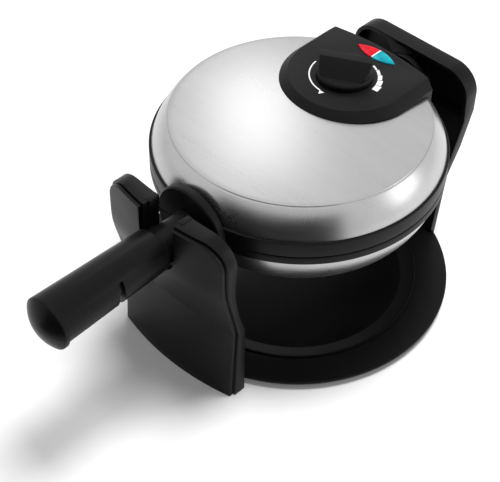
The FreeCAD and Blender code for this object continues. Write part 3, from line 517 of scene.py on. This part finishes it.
def inner_x(z, inset):
    """Where a row starts: the middle, or the notch's wall above its round bottom."""
    half = NOTCH_HALF + inset
    if z <= AXIS_Z - half:
        return 0.0
    if z < AXIS_Z:
        return math.sqrt(half ** 2 - (AXIS_Z - z) ** 2)
    return half


for spot, height in (("foot", 0.0), ("ears", POST_TOP)):
    print("post: front at the", spot, round(post_y(0, height, FRONT), 1), "mm")

# %% Front post shell and cover
ACROSS, FOOT_ROWS, NOTCH_ROWS, WALL_ROWS, EAR_ROWS = 18, 8, 12, 4, 15
FOOT_TOP = 61.4
VALLEY_ROWS = [62.0, 62.6, 64, 66.5, 70, 74, 78, 82.6, 87, 92, 97]


def post_rows(inset):
    """Heights of the rows, close together where the outline turns."""
    notch_low = AXIS_Z - NOTCH_HALF - inset
    ear_low = POST_TOP - EAR_R
    heights = [FOOT_TOP * i / FOOT_ROWS for i in range(FOOT_ROWS + 1)] + VALLEY_ROWS
    heights += [notch_low - 1.5, notch_low + 0.02]
    heights += [notch_low + (AXIS_Z - notch_low) * (i / NOTCH_ROWS) ** 2 for i in range(1, NOTCH_ROWS + 1)]
    heights += [AXIS_Z + (ear_low - AXIS_Z) * i / WALL_ROWS for i in range(1, WALL_ROWS + 1)]
    quarter = [math.radians(90 * i / EAR_ROWS) for i in range(1, EAR_ROWS + 1)]
    heights += [ear_low + (EAR_R - inset) * math.sin(turn) for turn in quarter]
    return sorted(set(round(h, 4) for h in heights))


def make_post(name, inset, set_back, back_of, node, finish):
    """One layer of the post: its front set back a little, and its back where back_of puts each point."""
    rows = post_rows(inset)
    alone()
    bpy.ops.mesh.primitive_grid_add(x_subdivisions=ACROSS, y_subdivisions=len(rows) - 1, size=1)
    piece = bpy.context.object
    piece.name = name
    columns = sorted(set(round(v.co.x, 5) for v in piece.data.vertices))
    levels = sorted(set(round(v.co.y, 5) for v in piece.data.vertices))
    for v in piece.data.vertices:
        u = columns.index(round(v.co.x, 5)) / (len(columns) - 1)
        z = rows[levels.index(round(v.co.y, 5))]
        start = inner_x(z, inset)
        x = start + (outer_x(z, inset) - start) * u
        v.co = Vector((x, post_y(x, z, FRONT) + set_back, z)) * MM
    mirror = piece.modifiers.new("other_half", "MIRROR")
    mirror.use_mirror_merge = True
    mirror.merge_threshold = 0.02 * MM
    alone(piece)
    bpy.ops.object.modifier_apply(modifier=mirror.name)
    bpy.ops.object.mode_set(mode="EDIT")
    bpy.ops.mesh.select_all(action="SELECT")
    bpy.ops.mesh.remove_doubles(threshold=0.02 * MM)
    pull((0, COVER_T * MM, 0))
    bpy.ops.object.mode_set(mode="OBJECT")
    for v in piece.data.vertices:
        if v.select:
            v.co.y = back_of(v.co / MM) * MM
    alone(piece)
    bpy.ops.object.mode_set(mode="EDIT")
    closed()
    placed(eased(piece, 0.7, degrees=40), "stand", finish, node)


make_post("post_shell", 0.0, COVER_T, lambda p: post_y(p.x, p.z, BACK), "front_post_shell", satin_black)
make_post("post_cover", COVER_INSET, 0.0, lambda p: p.y - COVER_GAP, "front_post_cover", satin_black)

# %% [markdown]
# At the top of the notch, each ear carries a small lip that stands a little proud of it and guides the neck
# in. A block between two measured corners is enough, with its edges rounded.

# %% Notch lips
LIP_IN, LIP_OUT, LIP_FRONT, LIP_BACK, LIP_LOW, LIP_TOP = 13.2, 18.0, -129.5, -120.0, 139.0, 148.6
for lip_side, lip_name in ((-1, "notch_lip_left"), (1, "notch_lip_right")):
    near, far = sorted((lip_side * LIP_IN, lip_side * LIP_OUT))
    lip = block(lip_name, (near, LIP_FRONT, LIP_LOW), (far, LIP_BACK, LIP_TOP))
    placed(eased(lip, 0.9), "stand", satin_black)

# %% [markdown]
# The rear tower, its bearing, the hinge and the panel have flat faces and true arcs, so the solids are
# already right. A moulding only lacks its small edge radii: a copy has its triangles joined into faces again
# and a Bevel modifier rounds every edge that turns sharply.

# %% Rear tower, bearing and hinge
refined("rear_tower_shell", "tower_shell", "stand", satin_black, edge_mm=1.0)
refined("bearing_cap", "tower_bearing_cap", "stand", satin_black, edge_mm=0.4)
refined("front_saddle", "neck_saddle", "stand", satin_black, edge_mm=0.4)
refined("cord_gland", "cord_inlet", "stand", foot_rubber, edge_mm=0.6)
refined("rear_yoke", "turning_yoke", "iron", satin_black, edge_mm=0.5)
refined("hinge_leaf", "lid_hinge_leaf", "lid", satin_black, edge_mm=0.4)

# %% [markdown]
# The collar and neck join the iron to the grip. They are split level with the iron's own joint, half on the
# lid and half below it, and their rear is hollowed to the iron's round side. The solids have all that
# already, so the same easing of a copy's edges finishes them.

# %% Collar and neck
refined("upper_collar", "collar_upper", "lid", satin_black, edge_mm=0.5)
refined("lower_collar", "collar_lower", "iron", satin_black, edge_mm=0.5)

# %% [markdown]
# The grip swells towards a shallow domed end. Its three parts are turned about the handle's line and halved.
# The top shell overhangs a strip on each side that lies a little deeper, and the lower front part is the
# sliding lock, parted from the fixed lower shell by a slot. The strips are cut with blocks that have the
# grip's own core taken out of them, so that what they leave is round as well.

# %% Grip
GRIP_BACK, GRIP_END, GRIP_BACK_R, GRIP_END_R = 139.3, 236.0, 16.6, 19.2
END_DOME, DOME_SWELL = 7.0, 1.8
SLOT_BACK, SLOT, SLOT_DEEP, SLOT_EDGE = 177.3, 5.4, 4.0, 1.0
STRIP_FRONT, STRIP_TOP, STRIP_DEEP, STRIP_CORNER = 226.0, 10.8, 1.5, 9.0
SPLIT_GAP, GRIP_ROUND, FAR = 0.25, 112, 30.0


def grip_r(along):
    """The grip's radius at a distance in front of the iron's axis."""
    return GRIP_BACK_R + (GRIP_END_R - GRIP_BACK_R) * (along - GRIP_BACK) / (GRIP_END - GRIP_BACK)


def grip_profile(back, front, closed_end):
    """The section of one part of the grip, with the domed end or a flat one."""
    line = [(POLE_R, -back), (grip_r(back), -back)]
    if closed_end:
        edge = front - END_DOME
        dome = bowed((grip_r(edge), -edge), (POLE_R, -front), -DOME_SWELL, 10)
        return softened(line + [(grip_r(edge), -edge)], 1.0)[:-1] + softened([line[1]] + dome, 0.7)[1:]
    return softened(line + [(grip_r(front), -front), (POLE_R, -front)], 0.9)


def grip_core(deep):
    """The grip's round body less a depth, longer than the grip."""
    back, front = GRIP_BACK - FAR, GRIP_END + FAR
    side = [(grip_r(along) - deep, -along) for along in (back, front)]
    return turned("grip_core", [(POLE_R, -back)] + side + [(POLE_R, -front)], about="Y", steps=GRIP_ROUND)


def side_strip(side):
    """The cutter for the strip below the top shell's edge, with its front corner rounded."""
    low, high = sorted((0.0, side * FAR))
    tool = block("strip_cutter", (low, -STRIP_FRONT, AXIS_Z - FAR),
                 (high, 1 - GRIP_BACK, AXIS_Z + STRIP_TOP))
    alone(tool)
    bpy.ops.object.mode_set(mode="EDIT")
    bpy.ops.mesh.select_mode(type="EDGE")
    bpy.ops.mesh.select_all(action="DESELECT")
    bpy.ops.object.mode_set(mode="OBJECT")
    for edge in tool.data.edges:
        ends = [tool.data.vertices[i].co for i in edge.vertices]
        edge.select = all(p.y < (1 - STRIP_FRONT) * MM and p.z > AXIS_Z * MM for p in ends)
    bpy.ops.object.mode_set(mode="EDIT")
    bpy.ops.mesh.bevel(offset=STRIP_CORNER * MM, segments=8)
    bpy.ops.mesh.select_mode(type="VERT")
    bpy.ops.object.mode_set(mode="OBJECT")
    return cut_by(tool, grip_core(STRIP_DEEP))


def make_grip_part(name, back, front, closed_end, upper, body, node):
    """One part of the grip: turned, halved at its split, and cut for the side strips and the slot."""
    level = AXIS_Z if upper else AXIS_Z - SPLIT_GAP
    profile = grip_profile(back, front, closed_end)
    piece = turned(name, profile, about="Y", steps=GRIP_ROUND, half=(level, upper))
    for side in (1, -1):
        cut_by(piece, side_strip(side))
    if upper:
        slot = block("slot_cutter", (-FAR, -SLOT_BACK - SLOT, AXIS_Z - SLOT_EDGE),
                     (FAR, -SLOT_BACK, AXIS_Z + STRIP_TOP - SLOT_EDGE))
        cut_by(piece, cut_by(slot, grip_core(SLOT_DEEP)))
    placed(eased(piece, 0.4), body, grip_black, node)


make_grip_part("grip_top_shell", GRIP_BACK, GRIP_END, True, True, "lid", "upper_grip")
make_grip_part("grip_lower_shell", GRIP_BACK, SLOT_BACK, False, False, "iron", "lower_grip")
make_grip_part("grip_lock", SLOT_BACK + SLOT, GRIP_END, True, False, "handle_lock", "handle_lock")

# %% [markdown]
# The control panel is a moulded cap on the dome with a wide chamfer, and the two lens halves are let into it.
# A thin light rib parts them.

# %% Panel and lenses
refined("control_panel", "dial_panel", "lid", panel_black, edge_mm=0.9)
refined("power_lens", "red_window", "lid", red_lens, edge_mm=0.5)
refined("ready_lens", "cyan_window", "lid", cyan_lens, edge_mm=0.5)
RIB_LOW, RIB_HIGH = (-0.5, 74.4, 163.02), (0.5, 84.6, 163.85)
placed(block("window_rib", RIB_LOW, RIB_HIGH), "lid", printed_white)

# %% [markdown]
# The knob starts as a turned disc. Its finger bar is a block whose top is drawn in to a narrow ridge, cut to
# the disc's round outline, so the sides slope from the ridge down to the skirt.

# %% Dial knob
KNOB = Vector((0.0, 45.5, 163.4))
KNOB_R, KNOB_EDGE, KNOB_CHAMFER, KNOB_DISC, KNOB_TALL = 20.4, 3.4, 1.2, 4.8, 15.8
BAR_TOP_HALF, BAR_FOOT_HALF, BAR_LOW = 3.4, 15.5, 2.0
BAR_IN_LOW, BAR_IN_TOP, BAR_OVER = 1.5, 2.2, 30.0
KNOB_REST = 28.6


def make_knob():
    disc = [
        (POLE_R, KNOB.z), (KNOB_R, KNOB.z), (KNOB_R, KNOB.z + KNOB_EDGE),
        (KNOB_R - KNOB_CHAMFER, KNOB.z + KNOB_DISC), (POLE_R, KNOB.z + KNOB_DISC),
    ]
    piece = turned("dial_knob_cap", softened(disc, 0.6), steps=128)
    bar = block("finger_bar", (-KNOB_R, -BAR_FOOT_HALF, KNOB.z + BAR_LOW),
                (KNOB_R, BAR_FOOT_HALF, KNOB.z + KNOB_TALL))
    alone(bar)
    for v in bar.data.vertices:
        v.select = v.co.z > (KNOB.z + KNOB_DISC) * MM
    for collection in (bar.data.edges, bar.data.polygons):
        for item in collection:
            item.select = all(bar.data.vertices[i].select for i in item.vertices)
    bpy.ops.object.mode_set(mode="EDIT")
    bpy.ops.transform.resize(value=(1, BAR_TOP_HALF / BAR_FOOT_HALF, 1), center_override=(0, 0, 0))
    bpy.ops.object.mode_set(mode="OBJECT")
    low, top = KNOB.z + 1, KNOB.z + BAR_OVER
    core = turned("bar_round", [
        (POLE_R, low), (KNOB_R - BAR_IN_LOW, low), (KNOB_R - BAR_IN_TOP, top), (POLE_R, top),
    ], steps=128)
    cut_by(bar, core, "INTERSECT")
    eased(bar, 0.7)
    smoothed(piece)
    bar.select_set(True)
    bpy.ops.object.join()
    piece.rotation_euler.z = math.radians(KNOB_REST)
    piece.location = (0, KNOB.y * MM, 0)
    bpy.ops.object.transform_apply(location=True, rotation=True, scale=True)
    placed(piece, "knob", panel_black, "dial_knob")


make_knob()

# %% [markdown]
# The dial's scale is printed on the panel: a thin arc with an arrow head on one side, and on the other a
# gauge of five blocks that widen. Each block is a short line swept round the knob's axis and given a film's
# thickness.

# %% Printed scale
INK_Z, INK_T = 163.02, 0.12
INK_BASE = Vector((KNOB.x, KNOB.y, INK_Z))
ARC_IN, ARC_OUT, ARC_START, ARC_STOP = 24.6, 25.6, -174, -92
ARROW_R, ARROW_AT, ARROW_SIZE = 26.4, -88, 2.4
GAUGE_STARTS, GAUGE_WIDE, GAUGE_IN, GAUGE_OUT = [72, 58, 44, 30, 16], 12.8, 22.8, 24.2


def ink_sector(name, inner, outer, start, stop, steps):
    """A flat ring sector round the knob, from one angle to another in degrees."""
    piece = point(name)
    way = bearing_way(start)
    bpy.ops.transform.translate(value=(INK_BASE + way * inner) * MM)
    pull(way * (outer - inner) * MM)
    bpy.ops.mesh.select_all(action="SELECT")
    bpy.ops.mesh.spin(steps=steps, angle=math.radians(start - stop), center=INK_BASE * MM, axis=(0, 0, 1))
    bpy.ops.mesh.select_all(action="SELECT")
    bpy.ops.mesh.remove_doubles(threshold=0.005 * MM)
    pull((0, 0, INK_T * MM))
    closed()
    return piece


def arrow_head(name, radius, angle):
    """A small triangle at the end of the thin arc."""
    alone()
    bpy.ops.mesh.primitive_circle_add(vertices=3, radius=ARROW_SIZE * MM, fill_type="NGON")
    piece = bpy.context.object
    piece.name = name
    bpy.ops.object.mode_set(mode="EDIT")
    bpy.ops.mesh.select_all(action="SELECT")
    pull((0, 0, INK_T * MM))
    closed()
    piece.rotation_euler.z = math.radians(angle) - math.pi / 2
    piece.location = (INK_BASE + radius * bearing_way(angle)) * MM
    bpy.ops.object.transform_apply(location=True, rotation=True, scale=True)
    return piece


def make_scale():
    pieces = [
        ink_sector("scale_arc", ARC_IN, ARC_OUT, ARC_START, ARC_STOP, 24),
        arrow_head("scale_arrow", ARROW_R, ARROW_AT),
    ]
    for i, start in enumerate(GAUGE_STARTS):
        inner, outer = GAUGE_IN + 0.2 * i, GAUGE_OUT + i
        pieces.append(ink_sector("scale_block_%d" % i, inner, outer, start - GAUGE_WIDE, start, 6))
    for piece in pieces:
        placed(piece, "lid", printed_white)


make_scale()

# %% [markdown]
# The pieces inside the iron and the small metal ones keep their solids as they are: they are hardly seen
# unless the lid is open, and their shape is right. Each gets the finish of its real material.

# %% Finishes on the solids that stay
KEPT = {
    "lower_plate": non_stick, "upper_plate": non_stick,
    "lower_heater": turned_steel, "upper_heater": turned_steel,
    "lower_reflector": bright_sheet, "upper_reflector": bright_sheet,
    "lower_standoffs": turned_steel, "upper_standoffs": turned_steel,
    "lower_plate_screws": turned_steel, "upper_plate_screws": turned_steel,
    "handle_core": turned_steel, "rear_trunnion": turned_steel, "trunnion_clip": turned_steel,
    "hinge_pin": turned_steel, "cap_screws": turned_steel, "knob_shaft": turned_steel,
    "rear_bush": oiled_brass, "rubber_feet": foot_rubber, "lamp_holder": satin_black,
    "thermostat": heatproof_tan,
}
for node_name, finish in KEPT.items():
    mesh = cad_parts[node_name].data
    mesh.materials.clear()
    mesh.materials.append(finish)
print("finished", len(KEPT), "solids")

# %% [markdown]
# The stage is a white floor in a white surround. Rays that reach the eye, straight or by a mirror, see the
# surround at full white, while the light that it scatters is much weaker: so the lamps shape the appliance,
# and its shadow stays on the floor. A dark mat and a low dark screen curve round the front. The eye never
# sees them, but polished things mirror them: they give the steel's front edge its dark band.

# %% Floor, surround and screen
FLOOR_WIDE, FLOOR_GLOW, SCATTERED = 6.0, 0.08, 0.22


def seen_by_eye(tree, path):
    """One for rays that come from the eye, straight or by a mirror, and nought for others."""
    return add(tree, "Math", [(0, path, "Is Camera Ray"), (1, path, "Is Glossy Ray")], operation="MAXIMUM")


def make_floor():
    alone()
    bpy.ops.mesh.primitive_plane_add(size=FLOOR_WIDE)
    floor = bpy.context.object
    floor.name = "studio_floor"
    made, tree = blank("white_studio_floor")
    place = add(tree, "TexCoord")
    mottle = add(tree, "TexNoise", [("Vector", place, "Object")], [("Scale", 3.0)])
    tone = toned(tree, mottle, "#f6f6f6", "#fafafa")
    paint = add(tree, "BsdfDiffuse", [("Color", tone, 0)])
    glow = add(tree, "Emission", [], [("Strength", FLOOR_GLOW)])
    seen = seen_by_eye(tree, add(tree, "LightPath"))
    lit = add(tree, "AddShader", [(0, paint, 0), (1, glow, 0)])
    mixed = add(tree, "MixShader", [(0, seen, 0), (1, paint, 0), (2, lit, 0)])
    finished(tree, mixed)
    floor.data.materials.append(made)


def make_surround():
    world = bpy.data.worlds.new("white_surround")
    bpy.context.scene.world = world
    world.use_nodes = True
    tree = world.node_tree
    tree.nodes.clear()
    path = add(tree, "LightPath")
    seen = add(tree, "Math", [(0, seen_by_eye(tree, path), 0), (1, path, "Is Transmission Ray")],
               operation="MAXIMUM")
    dim = add(tree, "Background", [], [("Color", linear("#ffffff")), ("Strength", SCATTERED)])
    white = add(tree, "Background", [], [("Color", linear("#ffffff")), ("Strength", 1.0)])
    mixed = add(tree, "MixShader", [(0, seen, 0), (1, dim, 0), (2, white, 0)])
    add(tree, "OutputWorld", [("Surface", mixed, 0)])


def make_screen(start, stop, near, far, tall):
    """A dark mat and screen round the front, from one bearing to another in degrees, sizes in metres."""
    screen = point("dark_screen")
    way = bearing_way(start)
    bpy.ops.transform.translate(value=way * near + Vector((0, 0, MM)))
    pull(way * (far - near))
    pull((0, 0, tall))
    bpy.ops.mesh.select_all(action="SELECT")
    bpy.ops.mesh.spin(steps=24, angle=math.radians(start - stop), center=(0, 0, 0), axis=(0, 0, 1))
    bpy.ops.object.mode_set(mode="OBJECT")
    cloth = make_grained("black_studio_cloth", "#060606", "#0c0c0c", 0.9, 4.0, 0.1, shine=0.0)
    screen.data.materials.append(cloth)
    screen.visible_camera = False
    screen.visible_diffuse = False
    screen.visible_shadow = False


make_floor()
make_surround()
make_screen(start=-106, stop=-18, near=0.36, far=1.05, tall=0.6)
print("floor, surround and screen ready")

# %% [markdown]
# The lamps are large and soft, as in a product studio: the main one hangs behind and above, so the shadow
# comes forward under the handle, a small one behind to the left makes the bright patch on the crown, and a
# low strip on the right lights the steel's right edge. The main one lights only what scatters light: polished
# things mirror the surround instead of it.

# %% Lamps
def soft_lamp(name, bearing, height, far, size, watts):
    """An area lamp aimed at the iron, placed by its bearing and height in degrees and its distance."""
    rise = math.radians(height)
    aim = Vector((0, 0, AXIS_Z * MM))
    place = aim + far * (bearing_way(bearing) * math.cos(rise) + Vector((0, 0, math.sin(rise))))
    alone()
    bpy.ops.object.light_add(type="AREA", location=place)
    lamp = bpy.context.object
    lamp.name = name
    lamp.data.shape = "RECTANGLE"
    lamp.data.size, lamp.data.size_y = size
    lamp.data.energy = watts
    lamp.rotation_euler = (aim - place).to_track_quat("-Z", "Y").to_euler()
    return lamp


main = soft_lamp("main_softbox", bearing=78, height=77, far=3.0, size=(1.25, 1.25), watts=98)
main.visible_glossy = False
soft_lamp("crown_lamp", bearing=138, height=42, far=1.4, size=(0.24, 0.5), watts=0.8)
soft_lamp("right_strip", bearing=33, height=14, far=1.1, size=(0.45, 0.5), watts=1.35)
print("lamps ready")

# %% [markdown]
# The camera stands where the photographer stood: to the right of the handle and about 45 degrees above the
# table, with a long lens, leaning a degree.

# %% Camera
EYE = Vector((0.451372, -0.525002, 0.720597))
VIEW_AZ, VIEW_EL, VIEW_ROLL = math.radians(43.415), math.radians(44.976), math.radians(1.134)
LENS_MM, SENSOR_MM, FURTHEST = 93.05, 36, 20


def make_camera():
    data = bpy.data.cameras.new("photo_view")
    camera = bpy.data.objects.new("photo_view", data)
    bpy.context.scene.collection.objects.link(camera)
    level = Vector((math.sin(VIEW_AZ), -math.cos(VIEW_AZ), 0))
    back = level * math.cos(VIEW_EL) + Vector((0, 0, math.sin(VIEW_EL)))
    camera.location = EYE
    camera.rotation_euler = back.to_track_quat("Z", "Y").to_euler()
    camera.rotation_euler.rotate_axis("Z", VIEW_ROLL)
    data.lens = LENS_MM
    data.sensor_width = SENSOR_MM
    data.clip_end = FURTHEST
    bpy.context.scene.camera = camera


make_camera()
bpy.context.scene.view_settings.view_transform = "Standard"
print("camera ready")
